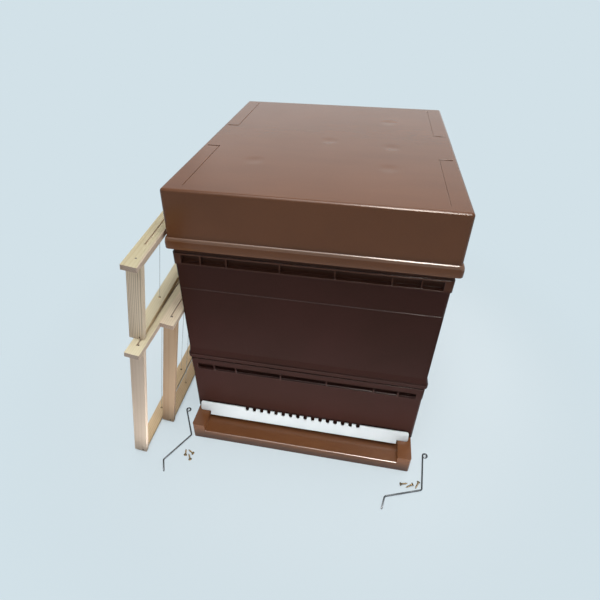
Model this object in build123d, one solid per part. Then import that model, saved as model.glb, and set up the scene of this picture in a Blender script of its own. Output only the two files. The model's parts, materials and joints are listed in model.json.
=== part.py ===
from build123d import *
import os
from math import atan, cos, degrees, radians, sin

# Hive boxes: the room inside and the moulded walls round it
INNER_WIDTH = 385.0
INNER_LENGTH = 450.0
SIDE_WALL = 27.5
END_WALL = 36.0
CORNER_RADIUS = 4.0
LEAST_CORNER = 1.0

# Frames: straight bars, a deep frame and a shallow one
BROOD_FRAME_HEIGHT = 300.0
SUPER_FRAME_HEIGHT = 160.0
BAR_WIDTH = 25.0
TOP_BAR_THICK = 12.0
LUG_THICK = 9.0
LUG_LENGTH = 17.5
SIDE_BAR_THICK = 9.0
BOTTOM_BAR_WIDTH = 21.0
BOTTOM_BAR_THICK = 8.0
KERF_WIDTH = 2.5
KERF_DEPTH = 3.0
BROOD_KERF_FROM_END = 20.0
SUPER_KERF_FROM_END = 60.0
WIRE_DIAMETER = 0.8
WIRE_SIDES = 4
WIRES_PER_FRAME = 3
WIRE_PITCH = 115.0
BROOD_PLACES = 10
SUPER_PLACES = 9
BROOD_TAKEN_OUT = 2
SUPER_TAKEN_OUT = 1

# Bee spaces round the frames
END_SPACE = 7.5
TOP_SPACE = 8.0
BOTTOM_SPACE = 2.0

# Racks that carry the lugs
REST_DEPTH = 12.5
RACK_THICK = 4.0
TOOTH_HEIGHT = 6.0

# Floor
FLOOR_SEAT = 38.5
FLOOR_INSET = 2.0
LANDING_REACH = 49.5
LANDING_FRONT = 21.0
PANEL_TOP = 24.0
PANEL_THICK = 4.0
FLOOR_RIB = 5.0
RIB_UNDER = 1.0
LANDING_ROUND = 2.5
VENT_COLUMNS = 14
VENT_WIDTH = 3.5
VENT_LENGTH = 150.0
VENT_PITCH = 24.0
VENT_FROM_MIDDLE = 112.5

# Brood body: two rings, the upper one with a drip bead that hangs over the lower one's spigot
UPPER_RING_HEIGHT = 158.5
BEAD_HEIGHT = 9.5
BEAD_HANG = 5.0
BEAD_PROUD = 4.0
BEAD_EASE = 2.0
FLARE_HEIGHT = 13.0
SPIGOT_STEP = 4.0
SPIGOT_HEIGHT = 10.5
BAND_HEIGHT = 11.5
BAND_PROUD = 1.0
GRIP_DEPTH = 7.0
GRIP_HEIGHT = 14.0
SILL_EASE = 2.5
TOP_EASE = 1.0

# Super's pair of thin rails, measured up from the super's foot, with the grip channel between them
RAIL_FROM = 48.5
RAIL_THICK = 3.0
RAIL_PROUD = 2.2
SUPER_GRIP_HEIGHT = 16.0

# Corner posts that end the grip channels, and gussets across them at shares of the wall's length
POST_WIDTH = 12.0
GUSSET_THICK = 2.4
GUSSET_BITE = 2.0
GUSSET_SHARES = (-0.4, -0.3, -0.1, 0.1, 0.3, 0.4)

# Dovetails that lock the side walls into the end walls
TONGUE_DEPTH = 9.0
TONGUE_END_SHARE = 0.40
TONGUE_NECK_SHARE = 0.30

# Inner cover and its plug
COVER_THICK = 6.0
COVER_INSET = 2.0
COVER_RIM_WIDTH = 8.0
COVER_RIM_HEIGHT = 3.0
FEED_HOLE_RADIUS = 40.0
PLUG_FLANGE = 6.0
PLUG_FLANGE_THICK = 2.0
PLUG_GRIP_LENGTH = 44.0
PLUG_GRIP_WIDTH = 14.0
PLUG_GRIP_DEPTH = 5.0

# Roof
ROOF_HEIGHT = 100.0
ROOF_SKIN = 3.0
ROOF_SIDE_GAP = 3.0
ROOF_DRAFT = 1.5
ROOF_EDGE_ROUND = 5.0
ROOF_CORNER_RADIUS = 7.0
LIP_HEIGHT = 20.0
LIP_PROUD = 3.3
LIP_SLOPE = 9.0
STRIP_FROM_EDGE = 31.4
STRIP_WIDTH = 23.0
STRIP_FROM_MIDDLE = 62.5
STRIP_FROM_END = 19.0
STRIP_GROOVE_WIDTH = 1.6
STRIP_GROOVE_DEPTH = 1.2
STRIP_SLOT_WIDTH = 3.5
STRIP_SLOT_DEPTH = 2.0
NOTCH_LENGTH = 6.0
NOTCH_DEPTH = 2.0
ROOF_RIB = 3.0
ROOF_RIB_HEIGHT = 2.0
ROOF_RIB_MARGIN = 4.0
ROOF_LONG_RIBS = (-0.45, 0.45)
ROOF_CROSS_RIBS = (-0.75, -0.35, 0.35, 0.75)

# Entrance reducer
REDUCER_HEIGHT = 27.0
REDUCER_THICK = 3.0
REDUCER_LEAN = 23.0
EAR_LENGTH = 22.0
EAR_RISE = 7.5
EAR_ROUND = 4.0
EAR_SET_BACK = 1.2
REDUCER_SIDE_MARGIN = 2.5
NOTCH_COUNT = 16
NOTCH_PITCH = 15.07
REDUCER_NOTCH_WIDTH = 7.5
REDUCER_NOTCH_DEPTH = 6.7
REDUCER_NOTCH_EASE = 2.2

# Frames leaned against the hive's left side, their front ends measured from the hive's front
LEAN = 10.0
NEAR_FRAME_FROM = -25.8
FAR_FRAME_FROM = -103.8
SUPER_FRAME_FROM = -86.5
SUPER_FRAME_TURN = 2.5

# Hooks, as corners measured from the floor's front corner on that side
HOOK_WIRE = 3.0
HOOK_WIRE_SIDES = 6
HOOK_EYE = 4.2
HOOK_EYE_ARC = 290.0
HOOK_BEND = 5.0
LEFT_HOOK = ((-38.5, 58.5), (-6.0, 0.0), (-40.5, -64.6), (-29.9, -87.7))
RIGHT_HOOK = ((29.2, 40.8), (23.2, -34.0), (-44.9, -59.1), (-50.2, -83.7))

# Screws: the head's place from the same corner, and the way the tip points
SCREW_LENGTH = 16.5
SCREW_HEAD = 7.0
SCREW_SHANK = 3.2
SCREW_TIP = 0.6
SCREW_RIM = 0.6
SCREW_POINT = 4.0
SCREW_SIDES = 12
LEFT_SCREWS = ((-0.6, -48.7, 106.7), (13.6, -42.3, 149.0), (12.3, -56.1, 122.0))
RIGHT_SCREWS = ((-16.8, -30.9, 22.0), (7.4, -26.3, 211.0), (18.0, -19.5, 245.0))

# Clearances, how far a cut runs past what it cuts, and how near two edges count as in line
JOINT_GAP = 0.15
RING_GAP = 0.4
RACK_GAP = 0.2
LUG_GAP = 0.5
PLUG_GAP = 0.3
REDUCER_GAP = 0.2
WALL_GAP = 1.7
SIDE_GAP = 1.5
LEAN_GAP = 0.3
FRAME_GAP = 0.3
CUT_MARGIN = 20.0
CUT_OVER = 1.0
IN_LINE = 0.01

# Sizes and levels that follow
outer_width = INNER_WIDTH + 2 * SIDE_WALL
outer_length = INNER_LENGTH + 2 * END_WALL
frame_length = INNER_LENGTH - 2 * END_SPACE
top_bar_length = frame_length + 2 * LUG_LENGTH
body_height = BROOD_FRAME_HEIGHT + TOP_SPACE + BOTTOM_SPACE
super_height = SUPER_FRAME_HEIGHT + TOP_SPACE + BOTTOM_SPACE
body_top = FLOOR_SEAT + body_height
ring_joint = body_top - UPPER_RING_HEIGHT
super_top = body_top + super_height
cover_top = super_top + COVER_THICK
roof_inside = cover_top + COVER_RIM_HEIGHT
roof_top = roof_inside + ROOF_SKIN
roof_foot = roof_top - ROOF_HEIGHT
roof_width = outer_width + 2 * (ROOF_SIDE_GAP + ROOF_SKIN)
roof_length = outer_length + 2 * (ROOF_SIDE_GAP + ROOF_SKIN)
lip_width = roof_width + 2 * LIP_PROUD
lip_length = roof_length + 2 * LIP_PROUD
floor_width = outer_width - 2 * FLOOR_INSET
floor_front = -(outer_length / 2 + LANDING_REACH)
far = 4 * (outer_width + outer_length)
above_roof = roof_top + CUT_MARGIN


# Shapes
def slab(width, length, low, high, radius):
    return Pos(0, 0, low) * extrude(RectangleRounded(width, length, radius), amount=high - low)


def ring_slab(proud, low, high):
    radius = max(CORNER_RADIUS + proud, LEAST_CORNER)
    return slab(outer_width + 2 * proud, outer_length + 2 * proud, low, high, radius)


def bar(x_from, x_to, y_from, y_to, low, high):
    middle = Pos((x_from + x_to) / 2, (y_from + y_to) / 2, (low + high) / 2)
    return middle * Box(x_to - x_from, y_to - y_from, high - low)


def along_x(points, width):
    return extrude(Plane.YZ * make_face(Polyline(*points, close=True)), amount=width / 2, both=True)


def tapered(outline, low, high, inset):
    slope = degrees(atan(inset / (high - low)))
    return Pos(0, 0, low) * extrude(outline, amount=high - low, taper=slope)


def tapered_ring(proud, inset, low, high):
    outline = RectangleRounded(outer_width + 2 * proud, outer_length + 2 * proud, CORNER_RADIUS + proud)
    return tapered(outline, low, high, inset)


def in_each_quarter(x_from, x_to, y_from, y_to, low, high):
    quarter = bar(x_from, x_to, y_from, y_to, low, high)
    half = [quarter, mirror(quarter, Plane.YZ)]
    return half + [mirror(block, Plane.XZ) for block in half]


def inside(low, high):
    return bar(-INNER_WIDTH / 2, INNER_WIDTH / 2, -INNER_LENGTH / 2, INNER_LENGTH / 2, low, high)


# Ring features
def between_posts(low, high):
    x = outer_width / 2 - POST_WIDTH
    y = outer_length / 2 - POST_WIDTH
    return bar(-x, x, -far, far, low, high) + bar(-far, far, -y, y, low, high)


def channel(low, high):
    groove = ring_slab(CUT_MARGIN, low, high) - ring_slab(-GRIP_DEPTH, low, high)
    return groove & between_posts(low, high)


def eased_sill(low, high):
    groove = ring_slab(CUT_MARGIN, low, high) - tapered_ring(0, high - low, low, high)
    return groove & between_posts(low, high)


def gussets(low, high):
    ribs = []
    half = GUSSET_THICK / 2
    depth = GRIP_DEPTH + GUSSET_BITE
    for share in GUSSET_SHARES:
        x = share * outer_width
        y = share * outer_length
        for side in (-1, 1):
            ends = sorted((side * outer_length / 2, side * (outer_length / 2 - depth)))
            ribs.append(bar(x - half, x + half, ends[0], ends[1], low, high))
            ends = sorted((side * outer_width / 2, side * (outer_width / 2 - depth)))
            ribs.append(bar(ends[0], ends[1], y - half, y + half, low, high))
    return ribs


def frame_rests(top):
    low = top - TOP_SPACE - LUG_THICK - RACK_THICK
    reach = INNER_LENGTH / 2 + REST_DEPTH
    return bar(-INNER_WIDTH / 2, INNER_WIDTH / 2, -reach, reach, low, top + CUT_OVER)


# Rings, whole
def lower_ring():
    band_top = ring_joint - SPIGOT_HEIGHT
    band_foot = band_top - BAND_HEIGHT
    grip_foot = band_foot - GRIP_HEIGHT
    sill_foot = grip_foot - SILL_EASE
    ring = ring_slab(0, FLOOR_SEAT, grip_foot) + ring_slab(BAND_PROUD, grip_foot, band_top)
    ring += ring_slab(-SPIGOT_STEP, band_top, ring_joint)
    ring -= channel(grip_foot, band_foot)
    ring -= eased_sill(sill_foot, grip_foot)
    for rib in gussets(sill_foot, band_foot):
        ring += rib
    return ring - inside(FLOOR_SEAT - CUT_OVER, ring_joint + CUT_OVER)


def upper_ring():
    foot = ring_joint - BEAD_HANG
    bead_top = foot + BEAD_HEIGHT
    flare_top = bead_top + FLARE_HEIGHT
    flare_proud = BEAD_PROUD - BEAD_EASE
    ring = ring_slab(BEAD_PROUD, foot, bead_top - BEAD_EASE)
    ring += tapered_ring(BEAD_PROUD, BEAD_EASE, bead_top - BEAD_EASE, bead_top)
    ring += tapered_ring(flare_proud, flare_proud, bead_top, flare_top)
    ring += ring_slab(0, flare_top, body_top - TOP_EASE)
    ring += tapered_ring(0, TOP_EASE, body_top - TOP_EASE, body_top)
    ring -= ring_slab(RING_GAP - SPIGOT_STEP, foot - CUT_OVER, ring_joint)
    ring -= inside(ring_joint - CUT_OVER, body_top + CUT_OVER)
    return ring - frame_rests(body_top)


def super_ring():
    rail_foot = body_top + RAIL_FROM
    grip_foot = rail_foot + RAIL_THICK
    grip_top = grip_foot + SUPER_GRIP_HEIGHT
    ring = ring_slab(0, body_top, super_top)
    ring += ring_slab(RAIL_PROUD, rail_foot, grip_top + RAIL_THICK)
    ring -= channel(grip_foot, grip_top)
    for rib in gussets(grip_foot, grip_top):
        ring += rib
    ring -= inside(body_top - CUT_OVER, super_top + CUT_OVER)
    return ring - frame_rests(super_top)


# Four dovetailed walls out of one ring
def tongue(x, side, low, high, gap):
    neck = TONGUE_NECK_SHARE * SIDE_WALL / 2 + gap
    end = TONGUE_END_SHARE * SIDE_WALL / 2 + gap
    root = side * INNER_LENGTH / 2
    tip = side * (INNER_LENGTH / 2 + TONGUE_DEPTH + gap)
    inner = root - side * CUT_OVER
    points = [(x - neck, inner), (x + neck, inner), (x + neck, root), (x + end, tip), (x - end, tip)]
    points.append((x - neck, root))
    return Pos(0, 0, low) * extrude(make_face(Polyline(*points, close=True)), amount=high - low)


def walls(ring, low, high):
    reach = INNER_LENGTH / 2
    tongue_x = INNER_WIDTH / 2 + (SIDE_WALL - GRIP_DEPTH) / 2
    front = ring & bar(-far, far, -far, -reach, -far, far)
    back = ring & bar(-far, far, reach, far, -far, far)
    left = ring & bar(-far, 0, -reach, reach, -far, far)
    right = ring & bar(0, far, -reach, reach, -far, far)
    for x in (-tongue_x, tongue_x):
        front -= tongue(x, -1, low - CUT_OVER, high + CUT_OVER, JOINT_GAP)
        back -= tongue(x, 1, low - CUT_OVER, high + CUT_OVER, JOINT_GAP)
    for side in (-1, 1):
        left += tongue(-tongue_x, side, low, high, 0)
        right += tongue(tongue_x, side, low, high, 0)
    return {"front": front, "back": back, "left": left, "right": right}


# Racks
def place_x(index, places):
    return (index - (places - 1) / 2) * INNER_WIDTH / places


def rack(side, top, places):
    low = top - TOP_SPACE - LUG_THICK - RACK_THICK
    near = INNER_LENGTH / 2 + RACK_GAP
    ends = sorted((side * near, side * (INNER_LENGTH / 2 + REST_DEPTH - RACK_GAP)))
    half = INNER_WIDTH / 2 - RACK_GAP
    strip = bar(-half, half, ends[0], ends[1], low, low + RACK_THICK + TOOTH_HEIGHT)
    slot = BAR_WIDTH / 2 + LUG_GAP
    for index in range(places):
        x = place_x(index, places)
        strip -= bar(x - slot, x + slot, ends[0] - CUT_OVER, ends[1] + CUT_OVER, low + RACK_THICK, far)
    return strip


# Frames, standing at x = 0, y = 0 on z = 0
def top_bar(height, kerf_from_end):
    half = BAR_WIDTH / 2
    shoulder = frame_length / 2 - SIDE_BAR_THICK
    upper = height - LUG_THICK
    wood = bar(-half, half, -top_bar_length / 2, top_bar_length / 2, upper, height)
    wood += bar(-half, half, -shoulder, shoulder, height - TOP_BAR_THICK, upper)
    reach = top_bar_length / 2 - kerf_from_end
    kerf = KERF_WIDTH / 2
    return wood - bar(-kerf, kerf, -reach, reach, height - KERF_DEPTH, height + CUT_OVER)


def side_bar(height, side):
    half = BAR_WIDTH / 2
    ends = sorted((side * frame_length / 2, side * (frame_length / 2 - SIDE_BAR_THICK)))
    return bar(-half, half, ends[0], ends[1], 0, height - LUG_THICK)


def bottom_bar():
    reach = frame_length / 2 - SIDE_BAR_THICK
    half = BOTTOM_BAR_WIDTH / 2
    return bar(-half, half, -reach, reach, 0, BOTTOM_BAR_THICK)


def frame_wires(height):
    length = height - TOP_BAR_THICK - BOTTOM_BAR_THICK
    strand = extrude(RegularPolygon(WIRE_DIAMETER / 2, WIRE_SIDES), amount=length)
    strands = []
    for index in range(WIRES_PER_FRAME):
        y = (index - (WIRES_PER_FRAME - 1) / 2) * WIRE_PITCH
        strands.append(Pos(0, y, BOTTOM_BAR_THICK) * strand)
    return strands


def frame_bars(height, kerf_from_end):
    return [top_bar(height, kerf_from_end), side_bar(height, -1), side_bar(height, 1), bottom_bar()]


def group(solids, place=Location()):
    return Compound([place * piece for solid in solids for piece in solid.solids()])


# Floor
def floor_base():
    back = outer_length / 2
    blank = Rectangle(floor_width, back - floor_front)
    blank = fillet(blank.vertices(), CORNER_RADIUS)
    base = Pos(0, (floor_front + back) / 2, 0) * extrude(blank, amount=FLOOR_SEAT)
    front = floor_front - CUT_OVER
    door = -outer_length / 2
    rear = INNER_LENGTH / 2
    tray = [(front, LANDING_FRONT), (door, PANEL_TOP), (rear, PANEL_TOP), (rear, far), (front, far)]
    base -= along_x(tray, INNER_WIDTH)
    nose = floor_front + 2 * LANDING_ROUND
    hollow = [
        (nose, -CUT_OVER),
        (nose, LANDING_FRONT - PANEL_THICK),
        (door, PANEL_TOP - PANEL_THICK),
        (rear, PANEL_TOP - PANEL_THICK),
        (rear, -CUT_OVER),
    ]
    base -= along_x(hollow, INNER_WIDTH)
    rib = FLOOR_RIB / 2
    half = INNER_WIDTH / 2
    base += bar(-rib, rib, nose, door, 0, LANDING_FRONT - RIB_UNDER)
    base += bar(-rib, rib, door, rear, 0, PANEL_TOP - RIB_UNDER)
    for y in (door, 0):
        base += bar(-half, half, y - rib, y + rib, 0, PANEL_TOP - RIB_UNDER)
    slot = Box(VENT_WIDTH, VENT_LENGTH, 3 * PANEL_THICK)
    for y in (-VENT_FROM_MIDDLE, VENT_FROM_MIDDLE):
        for column in range(VENT_COLUMNS):
            x = (column - (VENT_COLUMNS - 1) / 2) * VENT_PITCH
            base -= Pos(x, y, PANEL_TOP) * slot
    edges = base.edges().filter_by(Axis.X)
    nosing = [edge for edge in edges if abs(edge.center().Y - floor_front) < IN_LINE]
    nosing = [edge for edge in nosing if LANDING_FRONT - CUT_OVER < edge.center().Z < PANEL_TOP]
    return fillet(nosing, LANDING_ROUND)


# Entrance reducer
def entrance_reducer():
    half = INNER_WIDTH / 2 - REDUCER_SIDE_MARGIN
    ear = half + EAR_LENGTH
    outline = [(-half, 0), (half, 0), (half, EAR_RISE), (ear, EAR_RISE), (ear, REDUCER_HEIGHT)]
    outline += [(-ear, REDUCER_HEIGHT), (-ear, EAR_RISE), (-half, EAR_RISE)]
    strip = make_face(Polyline(*outline, close=True))
    corners = [point for point in strip.vertices() if abs(abs(point.X) - ear) < IN_LINE]
    strip = fillet(corners, EAR_ROUND)
    notch = Pos(0, REDUCER_HEIGHT) * Rectangle(REDUCER_NOTCH_WIDTH, 2 * REDUCER_NOTCH_DEPTH)
    notch = chamfer(notch.vertices().group_by(Axis.Y)[0], REDUCER_NOTCH_EASE)
    for index in range(NOTCH_COUNT):
        x = (index - (NOTCH_COUNT - 1) / 2) * NOTCH_PITCH
        strip -= Pos(x, 0) * notch
    plate = Pos(0, REDUCER_THICK, 0) * extrude(Plane.XZ * strip, amount=REDUCER_THICK)
    for side in (-1, 1):
        ends = sorted((side * half, side * (ear + CUT_OVER)))
        plate -= bar(ends[0], ends[1], -CUT_OVER, EAR_SET_BACK, 0, REDUCER_HEIGHT + CUT_OVER)
    lean = radians(REDUCER_LEAN)
    foot = FLOOR_SEAT + REDUCER_GAP - EAR_RISE * cos(lean) + REDUCER_THICK * sin(lean)
    back = REDUCER_THICK * cos(lean) + REDUCER_HEIGHT * sin(lean)
    return Pos(0, -outer_length / 2 - WALL_GAP - back, foot) * Rot(-REDUCER_LEAN, 0, 0) * plate


# Inner cover and plug
def inner_cover():
    width = outer_width - 2 * COVER_INSET
    length = outer_length - 2 * COVER_INSET
    cover = slab(width, length, super_top, cover_top + COVER_RIM_HEIGHT, CORNER_RADIUS)
    shrink = 2 * COVER_RIM_WIDTH
    cover -= slab(width - shrink, length - shrink, cover_top, cover_top + far, CORNER_RADIUS)
    return cover - Pos(0, 0, super_top) * Cylinder(FEED_HOLE_RADIUS, 4 * COVER_THICK)


def feed_hole_plug():
    stem = FEED_HOLE_RADIUS - PLUG_GAP
    rim = FEED_HOLE_RADIUS + PLUG_FLANGE
    top = cover_top + PLUG_FLANGE_THICK
    profile = [(0, super_top), (stem, super_top), (stem, cover_top), (rim, cover_top), (rim, top), (0, top)]
    plug = revolve(Plane.XZ * make_face(Polyline(*profile, close=True)), Axis.Z)
    grip = extrude(SlotOverall(PLUG_GRIP_LENGTH, PLUG_GRIP_WIDTH), amount=2 * PLUG_GRIP_DEPTH)
    return plug - Pos(0, 0, top - PLUG_GRIP_DEPTH) * grip


# Roof
def roof_skin():
    outline = RectangleRounded(roof_width, roof_length, ROOF_CORNER_RADIUS)
    skin = tapered(outline, roof_foot, roof_top, ROOF_DRAFT)
    return fillet(skin.edges().group_by(Axis.Z)[-1], ROOF_EDGE_ROUND)


def roof_lip():
    outline = RectangleRounded(lip_width, lip_length, ROOF_CORNER_RADIUS + LIP_PROUD)
    straight = LIP_HEIGHT - LIP_SLOPE
    lip = Pos(0, 0, roof_foot) * extrude(outline, amount=straight)
    return lip + tapered(outline, roof_foot + straight, roof_foot + LIP_HEIGHT, LIP_PROUD + ROOF_SKIN / 2)


def roof_room():
    outline = Rectangle(roof_width - 2 * ROOF_SKIN, roof_length - 2 * ROOF_SKIN)
    outline = chamfer(outline.vertices(), ROOF_CORNER_RADIUS - ROOF_SKIN)
    return tapered(outline, roof_foot, roof_inside, ROOF_DRAFT)


def strip_grooves():
    inner = roof_width / 2 - ROOF_DRAFT - STRIP_FROM_EDGE
    outer = inner + STRIP_WIDTH
    line = inner + STRIP_GROOVE_WIDTH
    end = roof_length / 2 - ROOF_DRAFT - STRIP_FROM_END
    start = STRIP_FROM_MIDDLE
    grooves = in_each_quarter(inner, line, start, end, roof_top - STRIP_GROOVE_DEPTH, above_roof)
    slot_end = start + STRIP_SLOT_WIDTH
    return grooves + in_each_quarter(inner, outer, start, slot_end, roof_top - STRIP_SLOT_DEPTH, above_roof)


def roof_ribs():
    low = roof_inside - ROOF_RIB_HEIGHT
    high = roof_inside + ROOF_SKIN / 2
    margin = COVER_INSET + COVER_RIM_WIDTH + ROOF_RIB_MARGIN
    reach_x = outer_width / 2 - margin
    reach_y = outer_length / 2 - margin
    half = ROOF_RIB / 2
    ribs = []
    for share in ROOF_LONG_RIBS:
        x = share * reach_x
        ribs.append(bar(x - half, x + half, -reach_y, reach_y, low, high))
    for share in ROOF_CROSS_RIBS:
        y = share * reach_y
        ribs.append(bar(-reach_x, reach_x, y - half, y + half, low, high))
    return ribs


def roof():
    shell = roof_skin() + roof_lip() - roof_room()
    for groove in strip_grooves():
        shell -= groove
    for side in (-1, 1):
        edge = side * (roof_width / 2 - ROOF_DRAFT)
        shell -= Pos(edge, 0, roof_top) * Box(2 * NOTCH_DEPTH, NOTCH_LENGTH, 2 * NOTCH_DEPTH)
    for rib in roof_ribs():
        shell += rib
    return shell


# Places of the leaned frames
def leaning(x, front):
    return Pos(x, -outer_length / 2 + front, 0) * Rot(0, LEAN, 0)


def upright(foot):
    return foot * Pos(-BAR_WIDTH / 2, frame_length / 2, 0)


def on_far_frame(foot, shift):
    along = SUPER_FRAME_FROM - FAR_FRAME_FROM
    return foot * Pos(-shift, along, BROOD_FRAME_HEIGHT) * Rot(0, 0, SUPER_FRAME_TURN)


def loose_places():
    lean = radians(LEAN)
    near_x = -outer_width / 2 - SIDE_GAP - BROOD_FRAME_HEIGHT * sin(lean)
    far_foot = leaning(near_x - BAR_WIDTH / cos(lean) - FRAME_GAP, FAR_FRAME_FROM)
    unshifted = on_far_frame(far_foot, 0)
    start = (unshifted * Pos(0, 0, SUPER_FRAME_HEIGHT)).position
    end = (unshifted * Pos(0, frame_length, SUPER_FRAME_HEIGHT)).position
    share = (-lip_length / 2 - start.Y) / (end.Y - start.Y)
    edge_x = start.X + share * (end.X - start.X)
    shift = (edge_x + lip_width / 2 + 2 * LEAN_GAP) / cos(lean)
    super_foot = on_far_frame(far_foot, max(shift, 0))
    return upright(leaning(near_x, NEAR_FRAME_FROM)), upright(far_foot), upright(super_foot)


# Hooks and screws, faceted wire and turned stock that lie on a flat
def flat_down(radius, sides):
    return RegularPolygon(radius, sides, major_radius=False, rotation=180 / sides)


def hook(corner_x, corners):
    points = [Vector(corner_x + x, floor_front + y, HOOK_WIRE / 2) for x, y in corners]
    heading = (points[1] - points[0]).normalized()
    across = Vector(-heading.Y, heading.X, 0)
    eye = points[0] + across * HOOK_EYE
    start = Vector(1, 0, 0).get_signed_angle(across * -1, Vector(0, 0, 1))
    curl = CenterArc(eye, HOOK_EYE, start - HOOK_EYE_ARC, HOOK_EYE_ARC)
    shank = FilletPolyline(*points, radius=HOOK_BEND)
    path = Wire([curl] + list(shank.edges()))
    across_wire = Plane(origin=curl @ 0, x_dir=(0, 0, 1), z_dir=curl % 0)
    return sweep(across_wire * flat_down(HOOK_WIRE / 2, HOOK_WIRE_SIDES), path=path)


def screw(x, y, heading):
    head = SCREW_HEAD / 2
    shank = SCREW_SHANK / 2
    cone = SCREW_RIM + head - shank
    point = SCREW_LENGTH - SCREW_POINT
    head_outline = flat_down(head, SCREW_SIDES)
    shank_outline = flat_down(shank, SCREW_SIDES)
    solid = extrude(head_outline, amount=SCREW_RIM)
    solid += tapered(head_outline, SCREW_RIM, cone, head - shank)
    solid += Pos(0, 0, cone) * extrude(shank_outline, amount=point - cone)
    solid += tapered(shank_outline, point, SCREW_LENGTH, shank - SCREW_TIP / 2)
    dip = atan((head - shank) / (point - SCREW_RIM))
    height = head * cos(dip) + SCREW_RIM * sin(dip)
    return Pos(x, y, height) * Rot(0, 0, heading) * Rot(0, 90 + degrees(dip), 0) * solid


def screws(corner_x, places):
    return [screw(corner_x + x, floor_front + y, heading) for x, y, heading in places]


# Assembly
nodes = {
    "floor_base": floor_base(),
    "entrance_reducer": entrance_reducer(),
    "inner_cover": inner_cover(),
    "feed_hole_plug": feed_hole_plug(),
    "roof": roof(),
    "left_hook": hook(-floor_width / 2, LEFT_HOOK),
    "right_hook": hook(floor_width / 2, RIGHT_HOOK),
    "left_screws": group(screws(-floor_width / 2, LEFT_SCREWS)),
    "right_screws": group(screws(floor_width / 2, RIGHT_SCREWS)),
}

for side, wall in walls(lower_ring(), FLOOR_SEAT, ring_joint).items():
    nodes[f"lower_body_{side}_wall"] = wall
for side, wall in walls(upper_ring(), ring_joint, body_top).items():
    nodes[f"upper_body_{side}_wall"] = wall
for side, wall in walls(super_ring(), body_top, super_top).items():
    nodes[f"super_{side}_wall"] = wall

for name, side in (("front", -1), ("back", 1)):
    nodes[f"body_{name}_rack"] = rack(side, body_top, BROOD_PLACES)
    nodes[f"super_{name}_rack"] = rack(side, super_top, SUPER_PLACES)


def hang_frames(kind, height, kerf_from_end, top, places, taken_out):
    strands = []
    level = top - TOP_SPACE - height
    for number in range(1, places - taken_out + 1):
        place = Pos(place_x(number - 1 + taken_out, places), 0, level)
        nodes[f"{kind}_frame_{number}"] = group(frame_bars(height, kerf_from_end), place)
        strands += [place * strand for strand in frame_wires(height)]
    nodes[f"{kind}_frame_wires"] = group(strands)


hang_frames("brood", BROOD_FRAME_HEIGHT, BROOD_KERF_FROM_END, body_top, BROOD_PLACES, BROOD_TAKEN_OUT)
hang_frames("super", SUPER_FRAME_HEIGHT, SUPER_KERF_FROM_END, super_top, SUPER_PLACES, SUPER_TAKEN_OUT)


def lean_frame(kind, height, kerf_from_end, place):
    nodes[f"{kind}_top_bar"] = place * top_bar(height, kerf_from_end)
    nodes[f"{kind}_front_side_bar"] = place * side_bar(height, -1)
    nodes[f"{kind}_back_side_bar"] = place * side_bar(height, 1)
    nodes[f"{kind}_bottom_bar"] = place * bottom_bar()
    nodes[f"{kind}_wires"] = group(frame_wires(height), place)


near_place, far_place, super_place = loose_places()
lean_frame("loose_brood_near", BROOD_FRAME_HEIGHT, BROOD_KERF_FROM_END, near_place)
lean_frame("loose_brood_far", BROOD_FRAME_HEIGHT, BROOD_KERF_FROM_END, far_place)
lean_frame("loose_super", SUPER_FRAME_HEIGHT, SUPER_KERF_FROM_END, super_place)

os.makedirs("parts", exist_ok=True)
for name, shape in nodes.items():
    export_step(shape, f"parts/{name}.step")
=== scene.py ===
import bmesh
import bpy
import json
import math
from mathutils import Matrix, Vector

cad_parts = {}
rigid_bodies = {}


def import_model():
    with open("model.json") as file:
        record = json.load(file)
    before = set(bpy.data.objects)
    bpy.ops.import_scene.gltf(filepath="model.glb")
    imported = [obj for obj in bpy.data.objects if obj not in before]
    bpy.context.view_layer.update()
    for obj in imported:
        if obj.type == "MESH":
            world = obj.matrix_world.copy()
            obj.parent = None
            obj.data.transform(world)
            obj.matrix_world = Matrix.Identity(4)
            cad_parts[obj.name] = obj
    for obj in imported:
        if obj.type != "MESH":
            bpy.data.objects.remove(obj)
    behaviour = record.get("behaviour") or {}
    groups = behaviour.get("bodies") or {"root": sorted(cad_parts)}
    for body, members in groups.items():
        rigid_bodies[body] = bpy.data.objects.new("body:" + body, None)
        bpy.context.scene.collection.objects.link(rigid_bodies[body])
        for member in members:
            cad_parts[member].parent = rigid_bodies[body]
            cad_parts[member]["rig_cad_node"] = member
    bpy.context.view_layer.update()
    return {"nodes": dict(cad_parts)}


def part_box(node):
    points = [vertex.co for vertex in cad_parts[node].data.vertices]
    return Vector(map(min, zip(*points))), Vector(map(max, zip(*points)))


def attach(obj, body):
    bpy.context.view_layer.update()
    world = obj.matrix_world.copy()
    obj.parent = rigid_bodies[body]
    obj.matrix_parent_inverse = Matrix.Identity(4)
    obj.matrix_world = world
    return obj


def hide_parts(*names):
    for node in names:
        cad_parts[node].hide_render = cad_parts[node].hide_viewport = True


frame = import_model()
nodes = frame["nodes"]

# Camera, fitted to the photograph
IMAGE_SIZE = 600.0
FOCAL_PIXELS = 444.87
CENTRE_PIXEL = (285.2, 283.8)
CAMERA_PLACE = (0.07473, -0.83458, 0.79940)
CAMERA_YAW = -0.188
CAMERA_PITCH = 0.623
CAMERA_NEAR = 0.01
SENSOR = 36.0

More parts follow.
